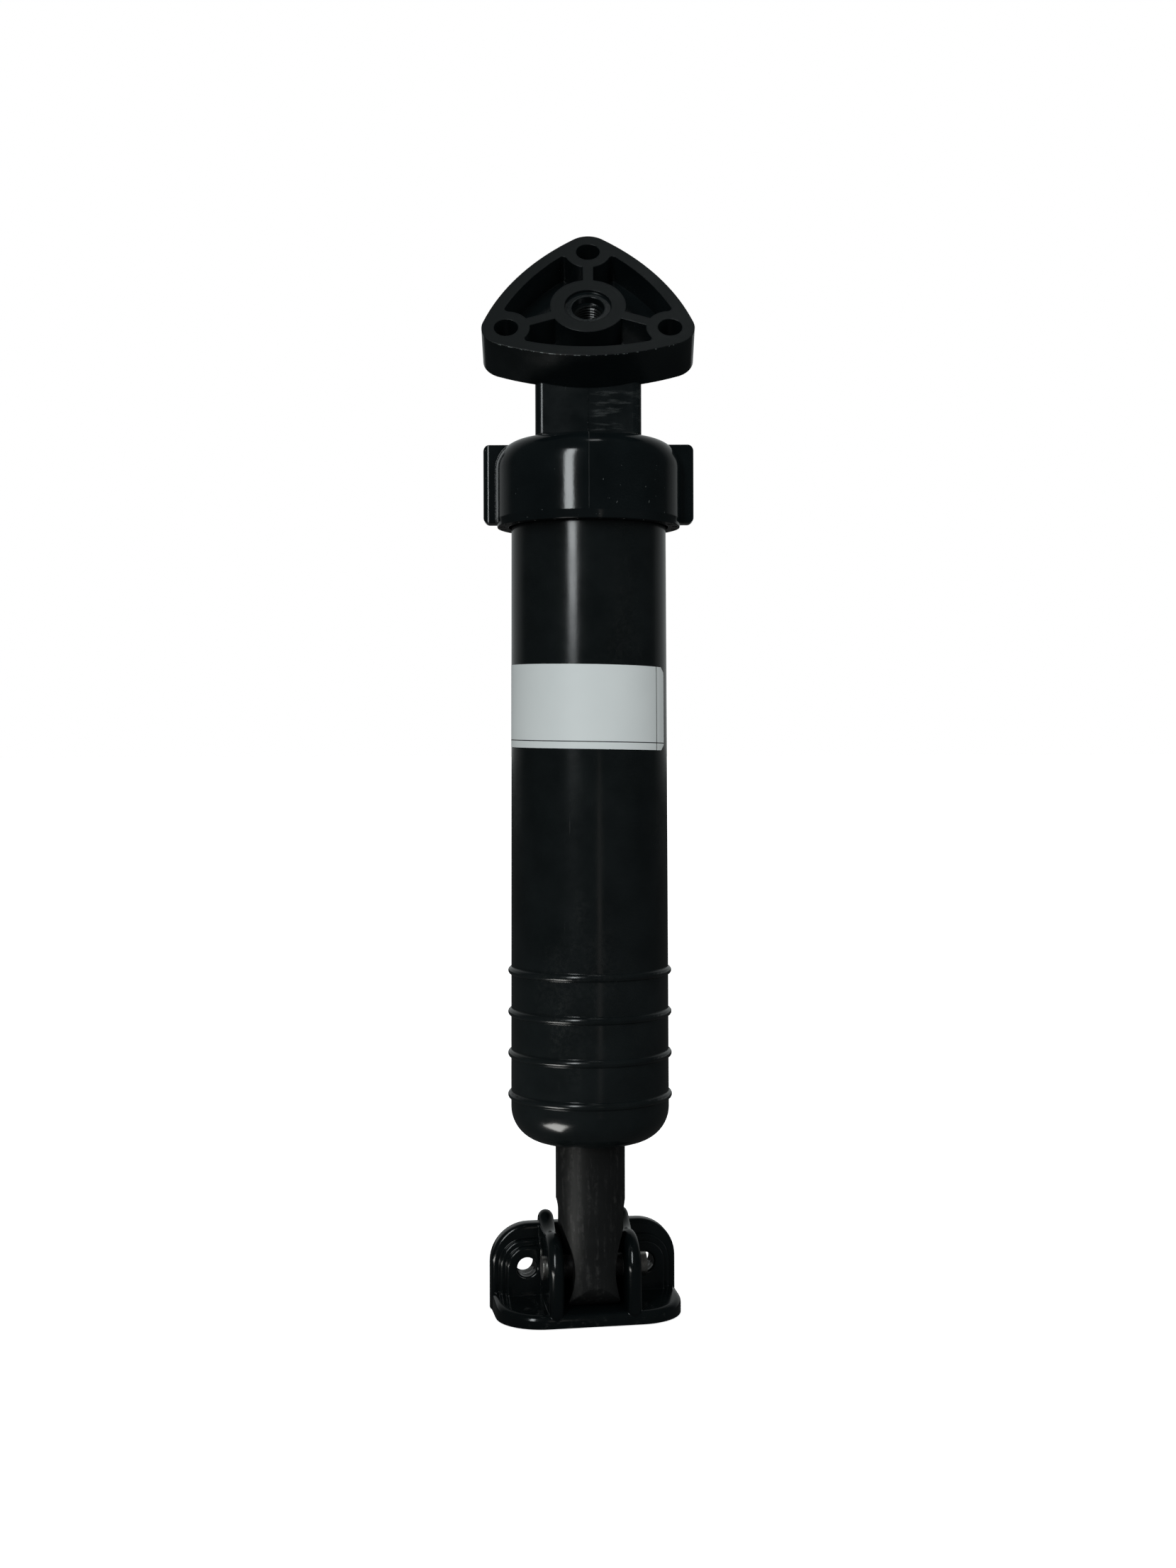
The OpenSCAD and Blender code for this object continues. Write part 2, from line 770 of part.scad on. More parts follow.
module barrel() {
    color("darkslategray")
        in_part_frame()
            difference() {
                union() {
                    difference() {
                        union() {
                            barrel_outside();
                            barrel_beads();
                        }
                        translate([0, 0, bore_floor])
                            cylinder(d = bore_diameter, h = barrel_top - bore_floor + overrun, $fn = 96);
                    }
                    translate([0, 0, bore_floor - overrun])
                        cylinder(r = guide_boss_radius, h = guide_boss_height + overrun);
                }
                translate([0, 0, barrel_end - overrun])
                    cylinder(r = ram_radius + ram_running_clearance + seal_gap, h = barrel_end_wall);
                translate([0, 0, barrel_end + end_lip])
                    cylinder(r = wiper_radius + snug_gap, h = wiper_height);
                translate([0, 0, bush_floor])
                    cylinder(r = bush_radius + snug_gap, h = guide_boss_top - bush_floor + overrun);
            }
}

module ram_bush() {
    color("wheat")
        in_part_frame() {
            difference() {
                union() {
                    translate([0, 0, bush_floor + snug_gap])
                        cylinder(r = bush_radius, h = bush_flange_top - bush_floor - snug_gap);
                    translate([0, 0, guide_boss_top + snug_gap])
                        cylinder(r = seat_radius, h = bush_flange_thickness - snug_gap);
                }
                translate([0, 0, barrel_end])
                    cylinder(r = ram_radius + ram_running_clearance, h = bush_flange_top - barrel_end + overrun);
            }
        }
}

module ram_wiper() {
    color("black")
        in_part_frame()
            translate([0, 0, barrel_end + end_lip + snug_gap])
                flat_ring(wiper_radius, ram_radius + ram_running_clearance, wiper_height - snug_gap);
}

module return_spring() {
    sides = 8;
    steps = 14;
    wire = wire_diameter / 2;
    low = bush_flange_top + spring_end_gap + wire;
    rise = seat_bottom - spring_end_gap - wire - low;
    rings = coil_count * steps;
    pitch_angle = atan(rise / coil_count / (PI * coil_diameter));
    points = [
        for (i = [0:rings], k = [0:sides - 1])
            let (
                turn = i * 360 / steps,
                out = coil_diameter / 2 + wire * cos(k * 360 / sides),
                up = wire * sin(k * 360 / sides)
            )
            [
                out * cos(turn) + up * sin(pitch_angle) * sin(turn),
                out * sin(turn) - up * sin(pitch_angle) * cos(turn),
                low + rise * i / rings + up * cos(pitch_angle)
            ]
    ];
    sides_faces = [
        for (i = [0:rings - 1], k = [0:sides - 1], half = [0:1])
            let (a = i * sides + k, b = i * sides + (k + 1) % sides)
            half == 0 ? [a, b + sides, b] : [a, a + sides, b + sides]
    ];
    color("silver")
        in_part_frame()
            polyhedron(
                points = points,
                faces = concat(
                    sides_faces,
                    [[for (k = [0:sides - 1]) k]],
                    [[for (k = [0:sides - 1]) rings * sides + sides - 1 - k]]
                )
            );
}

module spring_seat() {
    color("silver")
        in_part_frame()
            translate([0, 0, seat_bottom])
                flat_ring(seat_radius, ram_radius + seal_gap, spring_seat_thickness - snug_gap);
}

module ring_groove(inner, height) {
    translate([0, 0, -height / 2])
        difference() {
            cylinder(r = piston_radius + overrun, h = height);
            cylinder(r = inner, h = height);
        }
}

module piston() {
    color("tan")
        in_part_frame()
            difference() {
                translate([0, 0, piston_bottom])
                    cylinder(r = piston_radius, h = piston_height);
                translate([0, 0, nut_recess_floor])
                    cylinder(d = nut_recess_diameter, h = nut_recess_depth + overrun);
                translate([0, 0, piston_bottom - overrun])
                    cylinder(r = stud_radius + snug_gap, h = piston_height);
                translate([0, 0, seal_middle])
                    ring_groove(seal_inner_radius - snug_gap, piston_seal_height + 2 * snug_gap);
                translate([0, 0, wear_middle])
                    ring_groove(wear_inner_radius - snug_gap, wear_ring_height + 2 * snug_gap);
            }
}

// Ring with a V cut into its upper face, so that the pressure spreads its two lips
module piston_seal() {
    half = piston_seal_height / 2;
    middle = (seal_outer_radius + seal_inner_radius) / 2;
    lip = piston_seal_thickness / 4;
    color("black")
        in_part_frame()
            translate([0, 0, seal_middle])
                rotate_extrude($fn = 96)
                    polygon([
                        [seal_inner_radius, -half],
                        [seal_outer_radius, -half],
                        [seal_outer_radius, half],
                        [middle + lip, half],
                        [middle, 0],
                        [middle - lip, half],
                        [seal_inner_radius, half]
                    ]);
}

module piston_wear_ring() {
    color("ivory")
        in_part_frame()
            translate([0, 0, wear_middle - wear_ring_height / 2])
                flat_ring(seal_outer_radius, wear_inner_radius, wear_ring_height);
}

module piston_washer() {
    color("silver")
        in_part_frame()
            translate([0, 0, nut_recess_floor + snug_gap])
                flat_ring(nut_recess_diameter / 2 - overrun, stud_radius + snug_gap, washer_thickness - snug_gap);
}

module piston_nut() {
    color("silver")
        in_part_frame()
            translate([0, 0, nut_recess_floor + washer_thickness + snug_gap])
                difference() {
                    cylinder(d = nut_width / cos(30), h = nut_thickness - snug_gap, $fn = 6);
                    translate([0, 0, -overrun])
                        cylinder(r = stud_radius + snug_gap, h = nut_thickness + 2 * overrun);
                }
}

module ram_body() {
    stud_top = nut_recess_floor + washer_thickness + nut_thickness + piston_top_gap / 4;
    translate([0, 0, piston_bottom - overrun])
        cylinder(r = stud_radius, h = stud_top - piston_bottom + overrun);
    translate([0, 0, lower_pin])
        cylinder(r = ram_radius, h = piston_bottom - snug_gap - lower_pin);
    at_lower_pin()
        intersection() {
            translate([0, 0, -eye_end_radius])
                cylinder(r = ram_radius, h = 2 * eye_end_radius);
            along_x()
                cylinder(r = eye_end_radius, h = 2 * ram_diameter, center = true, $fn = 96);
        }
}

// What is taken off one side of the ram: flat, run-out and cone round the eye
module eye_side_cut() {
    reach = ram_radius + overrun;
    flat = ram_flat_thickness / 2;
    translate([flat, -reach, -eye_end_radius - overrun])
        cube([reach, 2 * reach, eye_end_radius + overrun + ram_flat_height]);
    translate([flat + ram_flat_runout, 0, ram_flat_height])
        rotate([90, 0, 0])
            cylinder(r = ram_flat_runout, h = 2 * reach, center = true);
    translate([eye_thickness / 2, 0, 0])
        along_x()
            cylinder(
                d1 = eye_face_diameter,
                d2 = eye_face_diameter + 2 * eye_cone_depth * eye_cone_slope,
                h = eye_cone_depth
            );
}

module ram() {
    color("slategray")
        in_part_frame()
            difference() {
                ram_body();
                at_lower_pin() {
                    eye_side_cut();
                    mirror([1, 0, 0])
                        eye_side_cut();
                    along_x()
                        cylinder(
                            r = lower_pin_diameter / 2 + lower_pin_clearance,
                            h = ram_diameter,
                            center = true
                        );
                }
            }
}

// D-shaped step round a screw hole, open toward the ear
module screw_step(radius) {
    circle(r = radius);
    translate([-tab_hole_place + ear_gap / 2 + ear_thickness, 0])
        square([tab_hole_place - ear_gap / 2 - ear_thickness, radius]);
}

// Section through a slab, with its upper edge rounded at the reach
module edged_section(reach, thickness, edge) {
    square([reach - edge, thickness]);
    square([reach, thickness - edge]);
    translate([reach - edge, thickness - edge])
        circle(r = edge, $fn = 32);
}

// Slab lying in front of the X axis, with two round corners and a round upper edge
module edged_slab(width, length, thickness, corner, edge) {
    rotate([90, 0, -90])
        linear_extrude(height = width - 2 * corner, center = true)
            edged_section(length, thickness, edge);
    for (side = [0, 1])
        mirror([side, 0, 0]) {
            translate([width / 2 - corner, 0, 0])
                rotate([90, 0, 0])
                    linear_extrude(height = length - corner)
                        edged_section(corner, thickness, edge);
            translate([width / 2 - corner, corner - length, 0])
                rotate([0, 0, -90])
                    rotate_extrude(angle = 90)
                        edged_section(corner, thickness, edge);
        }
}

module back_plate() {
    translate([0, plate_back, -foot_bottom])
        rotate([-90, 0, 180])
            edged_slab(
                bracket_width, foot_bottom + plate_rise, plate_thickness,
                plate_corner_radius, plate_edge_radius
            );
}

module foot() {
    translate([0, plate_back, -foot_bottom])
        edged_slab(
            bracket_width, foot_front + plate_back, foot_thickness,
            foot_corner_radius, foot_edge_radius
        );
}

// Side view of an ear in Y and Z, without its rounded nose edge
module ear_side() {
    nose = ear_nose_radius - ear_edge;
    fillet_z = ear_nose_radius + ear_hollow_radius;
    drop = fillet_z - ear_back_height;
    span = ear_back_radius + ear_hollow_radius;
    fillet_y = ear_back_place - sqrt(span * span - drop * drop);
    circle(r = nose);
    translate([-nose, -foot_drop - foot_thickness / 2])
        square([nose + plate_back - plate_edge_radius, foot_drop + foot_thickness / 2]);
    translate([0, -foot_drop])
        square([plate_back - plate_edge_radius, foot_drop + nose]);
    translate([fillet_y, 0])
        square([plate_back - fillet_y, ear_nose_radius]);
    translate([ear_back_place, 0])
        square([ear_back_radius, ear_back_height]);
    translate([ear_back_place, ear_back_height])
        circle(r = ear_back_radius);
    difference() {
        polygon([
            [fillet_y, ear_nose_radius],
            [
                ear_back_place - (ear_back_place - fillet_y) * ear_back_radius / span,
                ear_back_height + drop * ear_back_radius / span
            ],
            [ear_back_place, ear_back_height],
            [ear_back_place, ear_nose_radius / 2],
            [fillet_y, ear_nose_radius / 2]
        ]);
        translate([fillet_y, fillet_z])
            circle(r = ear_hollow_radius + join_margin);
    }
}

module ear() {
    nose = ear_nose_radius - ear_edge;
    top_length = ear_back_place - ear_back_radius;
    intersection() {
        extrude_along_x(ear_thickness)
            ear_side();
        translate([0, plate_back + overrun, 0])
            rotate([90, 0, 0])
                linear_extrude(height = plate_back + ear_nose_radius + 2 * overrun) {
                    translate([-ear_edge, -foot_bottom])
                        square([ear_thickness, foot_bottom + ear_back_rise - ear_edge]);
                    translate([0, ear_back_rise - ear_edge])
                        circle(r = ear_edge, $fn = 32);
                }
    }
    along_x()
        round_ring(nose, ear_thickness);
    translate([0, -nose, -foot_drop - foot_thickness / 2])
        cylinder(r = ear_edge, h = foot_drop + foot_thickness / 2, $fn = 32);
    translate([0, 0, nose])
        rotate([-90, 0, 0])
            cylinder(r = ear_edge, h = top_length, $fn = 32);
}

module lower_hinge() {
    color("dimgray")
        in_part_frame()
            at_lower_pin()
                difference() {
                    union() {
                        back_plate();
                        foot();
                        for (side = [-1, 1])
                            translate([side * ear_middle, 0, 0])
                                ear();
                    }
                    for (side = [0, 1])
                        mirror([side, 0, 0])
                            translate([tab_hole_place, 0, -tab_hole_drop]) {
                                for (i = [0:2])
                                    translate([0, plate_front + (i + 1) * step_depth, 0])
                                        rotate([90, 0, 0])
                                            linear_extrude(height = (i + 1) * step_depth + overrun)
                                                screw_step(step_outer_radius - i * step_width);
                                translate([0, plate_front - overrun, 0])
                                    rotate([-90, 0, 0])
                                        cylinder(d = tab_hole_diameter, h = plate_thickness + 2 * overrun);
                            }
                    along_x()
                        cylinder(d = lower_pin_diameter, h = bracket_width, center = true);
                }
}

module lower_hinge_pin() {
    color("gainsboro")
        in_part_frame()
            at_lower_pin()
                translate([lower_pin_shift, 0, 0])
                    along_x()
                        cylinder(d = lower_pin_diameter, h = lower_pin_length, center = true);
}

upper_hinge();
upper_hinge_pins();
hinge_pin_seals();
end_cap();
cap_seal();
barrel();
ram_bush();
ram_wiper();
return_spring();
spring_seat();
piston();
piston_seal();
piston_wear_ring();
piston_washer();
piston_nut();
ram();
lower_hinge();
lower_hinge_pin();
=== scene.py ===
import bpy
import bmesh
import math
from mathutils import Matrix, Vector

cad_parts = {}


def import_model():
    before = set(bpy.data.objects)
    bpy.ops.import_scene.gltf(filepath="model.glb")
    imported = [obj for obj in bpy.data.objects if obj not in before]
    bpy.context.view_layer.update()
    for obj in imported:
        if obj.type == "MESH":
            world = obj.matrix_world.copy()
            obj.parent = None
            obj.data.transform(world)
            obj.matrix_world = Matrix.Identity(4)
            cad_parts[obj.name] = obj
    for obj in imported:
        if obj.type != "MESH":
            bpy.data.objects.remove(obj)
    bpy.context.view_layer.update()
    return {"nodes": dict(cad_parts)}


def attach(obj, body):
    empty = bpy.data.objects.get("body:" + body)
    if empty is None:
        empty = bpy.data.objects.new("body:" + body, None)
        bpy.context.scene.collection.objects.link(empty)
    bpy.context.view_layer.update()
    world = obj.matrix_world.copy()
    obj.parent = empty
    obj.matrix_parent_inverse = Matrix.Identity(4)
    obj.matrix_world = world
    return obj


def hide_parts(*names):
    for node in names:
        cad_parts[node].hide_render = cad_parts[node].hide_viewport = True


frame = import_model()

MM = 0.001
PIVOT = Vector((0.0, 5.7290, -18.9952)) * MM      # upper hinge's pin axis, in the row frame
TILT = math.radians(36.0)                         # normal of the mounting face above the horizontal
FACE_N = Vector((0.0, -math.cos(TILT), math.sin(TILT)))
FACE_UP = Vector((0.0, math.sin(TILT), math.cos(TILT)))
PORT_MOUTH = 2.8                                  # depth of the port's recess and plain mouth, in mm
PORT_FACE = FACE_N * PORT_MOUTH * MM              # port axis where it meets the mounting face
PIN_DROP = 213.0 * MM                             # lower pin below the upper one
YAW = math.radians(10.0)                          # turn of the ram and the lower hinge
CAP_BOTTOM = PIVOT.z - 32.1 * MM
FOOT_CLEARANCE = 12.9 * MM                        # floor below the lower pin
FLOOR_Z = PIVOT.z - PIN_DROP - FOOT_CLEARANCE
EYE = PIVOT.z - 86.0 * MM                         # height of the camera

# Camera, matched to the photo
PHOTO_HEIGHT = 2212.0
FOCAL_PX = 2750.0
HORIZON_PX = 1055.0
CAMERA_DISTANCE = 0.478
CAMERA_SIDE = -0.28 * MM
CAMERA_ROLL = math.radians(0.155)
SENSOR = 36.0

# Lower hinge's moulding, in mm from the lower pin: u runs along the pin, w to the back and h up
PLATE_HALF, PLATE_FRONT, PLATE_BACK, PLATE_TOP = 23.35, 9.3, 13.9, 8.7
PLATE_CORNER, PLATE_EDGE = 9.6, 1.2
FOOT_HALF, FOOT_FRONT, FOOT_TOP, FOOT_BOTTOM = 23.05, -8.4, -9.6, -12.6
FOOT_CORNER, FOOT_EDGE, FOOT_RISE = 11.5, 1.4, 1.8
HOLE_U, HOLE_H, HOLE_RADIUS = 14.8, -1.3, 2.4
STEPS = ((6.5, 7.65), (5.0, 6.0))                 # radius and front of each raised step
STEP_EDGE = 0.6
EAR_INNER, EAR_OUTER = 7.65, 11.35
NOSE, HOLLOW, KNOB, KNOB_W, KNOB_H = 8.7, 12.0, 3.3, 10.6, 8.5
EAR_TOE = 1.9                                     # radius of the ears' lower front ends
FOOT_LOW = FOOT_BOTTOM + 0.3                      # level inside the foot that the upright plates end at


# ---------------------------------------------------------------- materials

class Mat:
    """A principled material with helpers for the node graph."""

    def __init__(self, name):
        self.m = bpy.data.materials.new(name)
        self.m.use_nodes = True
        self.t = self.m.node_tree
        self.bsdf = self.t.nodes["Principled BSDF"]
        self.coord = self.t.nodes.new("ShaderNodeTexCoord").outputs["Object"]

    def set(self, socket, value):
        self.bsdf.inputs[socket].default_value = value

    def node(self, kind, inputs=None, **props):
        n = self.t.nodes.new(kind)
        for k, v in props.items():
            setattr(n, k, v)
        for k, v in (inputs or {}).items():
            if isinstance(v, bpy.types.NodeSocket):
                self.t.links.new(v, n.inputs[k])
            else:
                n.inputs[k].default_value = v
        return n

    def link(self, out, socket):
        self.t.links.new(out, self.bsdf.inputs[socket])

    def math(self, op, a, b=0.0):
        return self.node("ShaderNodeMath", {0: a, 1: b}, operation=op).outputs[0]

    def noise(self, scale, detail=3.0, rough=0.55, stretch=None, seed=0.0):
        v = self.coord
        if stretch or seed:
            v = self.node("ShaderNodeMapping", {"Vector": v, "Scale": stretch or (1, 1, 1),
                                                "Location": (seed, seed * 0.7, seed * 1.3)}).outputs[0]
        return self.node("ShaderNodeTexNoise",
                         {"Vector": v, "Scale": scale, "Detail": detail, "Roughness": rough}).outputs["Fac"]

    def ramp(self, value, low, high, to_low=0.0, to_high=1.0):
        return self.node("ShaderNodeMapRange", {"Value": value, "From Min": low, "From Max": high,
                                                "To Min": to_low, "To Max": to_high}).outputs[0]

    def mix(self, fac, a, b):
        n = self.node("ShaderNodeMix", {"Factor": fac}, data_type="RGBA")
        for k, v in ((6, a), (7, b)):
            if isinstance(v, bpy.types.NodeSocket):
                self.t.links.new(v, n.inputs[k])
            else:
                n.inputs[k].default_value = (*v, 1.0)
        return n.outputs[2]

    def xyz(self):
        s = self.node("ShaderNodeSeparateXYZ", {"Vector": self.coord})
        return s.outputs[0], s.outputs[1], s.outputs[2]

    def along(self, direction, origin):
        """Distance of a point along a direction from an origin."""
        kind = "ShaderNodeVectorMath"
        v = self.node(kind, {0: self.coord, 1: tuple(origin)}, operation="SUBTRACT").outputs[0]
        return self.node(kind, {0: v, 1: tuple(direction)}, operation="DOT_PRODUCT").outputs["Value"]

    def near(self, value, centre, half, soft):
        """1 where value lies within half of centre, falling to 0 over soft."""
        d = self.math("ABSOLUTE", self.math("SUBTRACT", value, centre))
        return self.ramp(d, half, half + soft, 1.0, 0.0)

    def bump(self, layers, edge=0.0):
        """layers: (height, distance in mm, strength)."""
        normal = None
        if edge:
            normal = self.node("ShaderNodeBevel", {"Radius": edge * MM}, samples=6).outputs[0]
        for height, distance, strength in layers:
            n = self.node("ShaderNodeBump",
                          {"Height": height, "Distance": distance * MM, "Strength": strength})
            if normal is not None:
                self.t.links.new(normal, n.inputs["Normal"])
            normal = n.outputs[0]
        self.link(normal, "Normal")


def plastic(name, base, rough, spread=0.08, edge=0.35, grain=0.004, warp=0.012, extra=None):
    """Black moulded plastic: fine grain, slow waviness, patches of duller surface and hairline scratches.

    edge is the radius its sharp edges are shaded with, grain and warp the depth of its relief, in mm.
    """
    m = Mat(name)
    patches = m.noise(90.0, 4.0, 0.6)
    fine = m.noise(2600.0, 2.0, 0.5)
    waves = m.noise(60.0, 2.0, 0.5, seed=3.1)
    hair = m.noise(300.0, 3.0, 0.6, stretch=(9.0, 9.0, 0.6), seed=1.7)
    hair_mask = m.ramp(hair, 0.66, 0.72)
    duller = m.ramp(patches, 0.3, 0.75, rough - spread * 0.5, rough + spread)
    r = m.math("ADD", duller, m.math("MULTIPLY", hair_mask, 0.08))
    tint = m.mix(m.ramp(patches, 0.35, 0.75), base, tuple(c * 1.5 + 0.0008 for c in base))
    layers = [(fine, grain, 0.6), (waves, warp * 10, 0.5)]
    if extra:
        tint, r, more = extra(m, tint, r)
        layers += more
    m.link(tint, "Base Color")
    m.link(r, "Roughness")
    m.bump(layers, edge)
    return m.m


def hinge_extra(m, tint, r):
    """Matte mounting face, painted glints along its lower rim, mould line on the neck, and below it scuffs
    lightened with a painted reflection.
    """
    lower_rim = -13.2 * MM
    flange_back = -10.8 * MM
    scuff_and_sheen_top = PIVOT.z + 10 * MM
    x, _, z = m.xyz()
    depth = m.along(FACE_N, PORT_FACE)
    rise = m.along(FACE_UP, PORT_FACE)
    face = m.near(depth, 0.0, 0.12 * MM, 0.05 * MM)
    speck = m.noise(1500.0, 2.0, 0.5, seed=5.0)
    r = m.math("ADD", r, m.math("MULTIPLY", face, 0.22))
    tint = m.mix(m.math("MULTIPLY", face, 0.8), tint, (0.0042, 0.0064, 0.0068))
    # painted glints: light grey specks along the lower rim edge of the mounting face stand in for highlights
    glint_noise = m.noise(900.0, 3.0, 0.7, stretch=(1.0, 0.5, 0.5), seed=2.0)
    on_edge = m.near(depth, -0.17 * MM, 0.09 * MM, 0.06 * MM)
    painted_glint = m.math("MULTIPLY", on_edge, m.ramp(rise, lower_rim, lower_rim - 0.4 * MM))
    painted_glint = m.math("MULTIPLY", painted_glint, m.ramp(glint_noise, 0.54, 0.60))
    tint = m.mix(painted_glint, tint, (0.24, 0.27, 0.27))
    # scuffs and painted reflection: the neck's right half is lightened towards the bottom, partly scuff marks
    # and partly a painted reflection
    low = m.ramp(z, scuff_and_sheen_top, scuff_and_sheen_top - 6 * MM)
    scuff_and_sheen_noise = m.noise(420.0, 4.0, 0.65, stretch=(0.35, 1.0, 2.2), seed=9.0)
    place = m.math("MULTIPLY", low, m.ramp(x, 0.0, 2 * MM))
    scuff_and_sheen = m.math("MULTIPLY", place, m.ramp(scuff_and_sheen_noise, 0.5, 0.62))
    scuff_and_sheen = m.math("MULTIPLY", scuff_and_sheen, m.ramp(depth, flange_back, flange_back - 0.4 * MM))
    tint = m.mix(m.math("MULTIPLY", scuff_and_sheen, 0.45), tint, (0.024, 0.029, 0.029))
    r = m.math("ADD", r, m.math("MULTIPLY", scuff_and_sheen, 0.15))
    line = m.math("MULTIPLY", m.near(x, 0.0, 0.05 * MM, 0.06 * MM), m.ramp(depth, -0.4 * MM, -0.8 * MM))
    return tint, r, [(line, 0.12, 1.0), (speck, 0.01, 0.5), (scuff_and_sheen, 0.03, 0.6)]


def cap_extra(m, tint, r):
    """Mould line down the cap's front, a witness line round its lower edge, dust specks."""
    x, y, z = m.xyz()
    front = m.ramp(y, 0.0, -2 * MM)
    line = m.math("MULTIPLY", m.near(x, 0.15 * MM, 0.04 * MM, 0.05 * MM), front)
    line = m.math("MULTIPLY", line, m.ramp(z, CAP_BOTTOM + 2.0 * MM, CAP_BOTTOM + 2.6 * MM))
    ring = m.near(z, CAP_BOTTOM + 2.15 * MM, 0.05 * MM, 0.08 * MM)
    dust = m.ramp(m.noise(1300.0, 1.0, 0.4, seed=4.0), 0.775, 0.8)
    tint = m.mix(m.math("MULTIPLY", dust, 0.6), tint, (0.09, 0.1, 0.1))
    tint = m.mix(m.math("MULTIPLY", line, 0.6), tint, (0.05, 0.055, 0.055))
    stipple = m.noise(750.0, 3.0, 0.7, seed=6.0)
    return tint, r, [(line, 0.1, 1.0), (ring, 0.08, -1.0), (stipple, 0.02, 0.5)]


def barrel_extra(m, tint, r):
    """Satin tube with rubbed patches and fine speckle."""
    patch = m.ramp(m.noise(38.0, 5.0, 0.62, stretch=(1.0, 1.0, 0.45), seed=8.0), 0.52, 0.66)
    speckle = m.noise(950.0, 4.0, 0.75, seed=2.5)
    rub = m.math("MULTIPLY", patch, m.ramp(speckle, 0.42, 0.6))
    r = m.math("ADD", r, m.math("MULTIPLY", rub, 0.13))
    tint = m.mix(m.math("MULTIPLY", rub, 0.35), tint, (0.016, 0.018, 0.018))
    return tint, r, [(speckle, 0.012, 0.7)]


def ram_extra(m, tint, r):
    """Dull grey-black rod with long scuffs and pale rubbed spots."""
    long = m.noise(260.0, 4.0, 0.65, stretch=(3.0, 3.0, 0.35), seed=1.1)
    spots = m.noise(700.0, 4.0, 0.7, seed=7.0)
    rub = m.math("MULTIPLY", m.ramp(long, 0.5, 0.68), m.ramp(spots, 0.42, 0.6))
    tint = m.mix(m.math("MULTIPLY", rub, 0.6), tint, (0.05, 0.05, 0.049))
    r = m.math("SUBTRACT", r, m.math("MULTIPLY", rub, 0.08))
    return tint, r, [(spots, 0.03, 0.6), (long, 0.03, 0.4)]


def bracket_extra(m, tint, r):
    """Glossy moulding with worn corners on the foot's front edge."""
    worn = m.ramp(m.noise(500.0, 4.0, 0.7, seed=12.0), 0.6, 0.7)
    foot_top = PIVOT.z - PIN_DROP + FOOT_TOP * MM
    low = m.ramp(m.xyz()[2], foot_top, foot_top - 1.4 * MM)
    tint = m.mix(m.math("MULTIPLY", m.math("MULTIPLY", worn, low), 0.35), tint, (0.04, 0.042, 0.04))
    return tint, r, []


def steel(name, base=(0.62, 0.6, 0.57), rough=0.28):
    """Turned stainless steel with faint blotches."""
    m = Mat(name)
    lines = m.noise(900.0, 3.0, 0.6, seed=0.4)
    blotch = m.noise(240.0, 3.0, 0.6, seed=5.5)
    m.link(m.mix(m.ramp(blotch, 0.35, 0.7), base, tuple(c * 0.78 for c in base)), "Base Color")
    m.link(m.ramp(lines, 0.3, 0.7, rough - 0.06, rough + 0.12), "Roughness")
    m.set("Metallic", 1.0)
    m.bump([(lines, 0.008, 0.6)], 0.25)
    return m.m


def rubber(name):
    """Matte black rubber."""
    m = Mat(name)
    grain = m.noise(1800.0, 3.0, 0.6)
    m.link(m.mix(grain, (0.010, 0.010, 0.010), (0.02, 0.02, 0.02)), "Base Color")
    m.link(m.ramp(grain, 0.3, 0.7, 0.45, 0.62), "Roughness")
    m.bump([(grain, 0.01, 0.5)])
    return m.m


def machined(name, base):
    """Turned plastic with fine lines round it."""
    m = Mat(name)
    grain = m.noise(700.0, 3.0, 0.6, stretch=(1.0, 1.0, 7.0))
    m.link(m.mix(grain, base, tuple(c * 0.86 for c in base)), "Base Color")
    m.link(m.ramp(grain, 0.3, 0.7, 0.35, 0.5), "Roughness")
    m.bump([(grain, 0.015, 0.5)], 0.2)
    return m.m


MATERIALS = {
    "upper_hinge": plastic("black_moulding", (0.0036, 0.0056, 0.0062), 0.19, extra=hinge_extra),
    "end_cap": plastic("cap_black", (0.0030, 0.0048, 0.0054), 0.12,
                       spread=0.03, edge=0.4, extra=cap_extra),
    "barrel": plastic("barrel_black", (0.0046, 0.0064, 0.0068), 0.17,
                      spread=0.05, edge=0.3, extra=barrel_extra),
    "ram": plastic("ram_grey", (0.0068, 0.0072, 0.0073), 0.42, grain=0.008, extra=ram_extra),
    "lower_hinge": plastic("bracket_black", (0.0018, 0.0030, 0.0033), 0.13,
                           spread=0.04, grain=0.002, warp=0.004, extra=bracket_extra),
}
RAM_SHEEN = MATERIALS["ram"].node_tree.nodes["Principled BSDF"].inputs["Specular IOR Level"]
RAM_SHEEN.default_value = 0.22
STEEL = steel("turned_steel")


def pin_steel():
    """Bright at its ends, with painted shade between the ears: dark and not metallic there."""
    m = Mat("pin_steel")
    along = m.math("ABSOLUTE", m.along((math.cos(YAW), math.sin(YAW), 0.0), PIVOT))
    # painted shade: the pin's middle, between the ears, is coloured near black and made unmetallic to stand
    # in for the shade it lies in
    painted_shade = m.ramp(along, (EAR_INNER + 0.05) * MM, (EAR_INNER - 0.05) * MM)
    lines = m.noise(900.0, 3.0, 0.6, stretch=(6.0, 1.0, 1.0), seed=0.4)
    bright = m.mix(m.ramp(lines, 0.35, 0.7), (0.60, 0.59, 0.56), (0.46, 0.45, 0.43))
    m.link(m.mix(painted_shade, bright, (0.012, 0.012, 0.012)), "Base Color")
    m.link(m.math("SUBTRACT", 1.0, painted_shade), "Metallic")
    m.link(m.ramp(lines, 0.3, 0.7, 0.24, 0.4), "Roughness")
    m.bump([(lines, 0.008, 0.6)], 0.25)
    return m.m


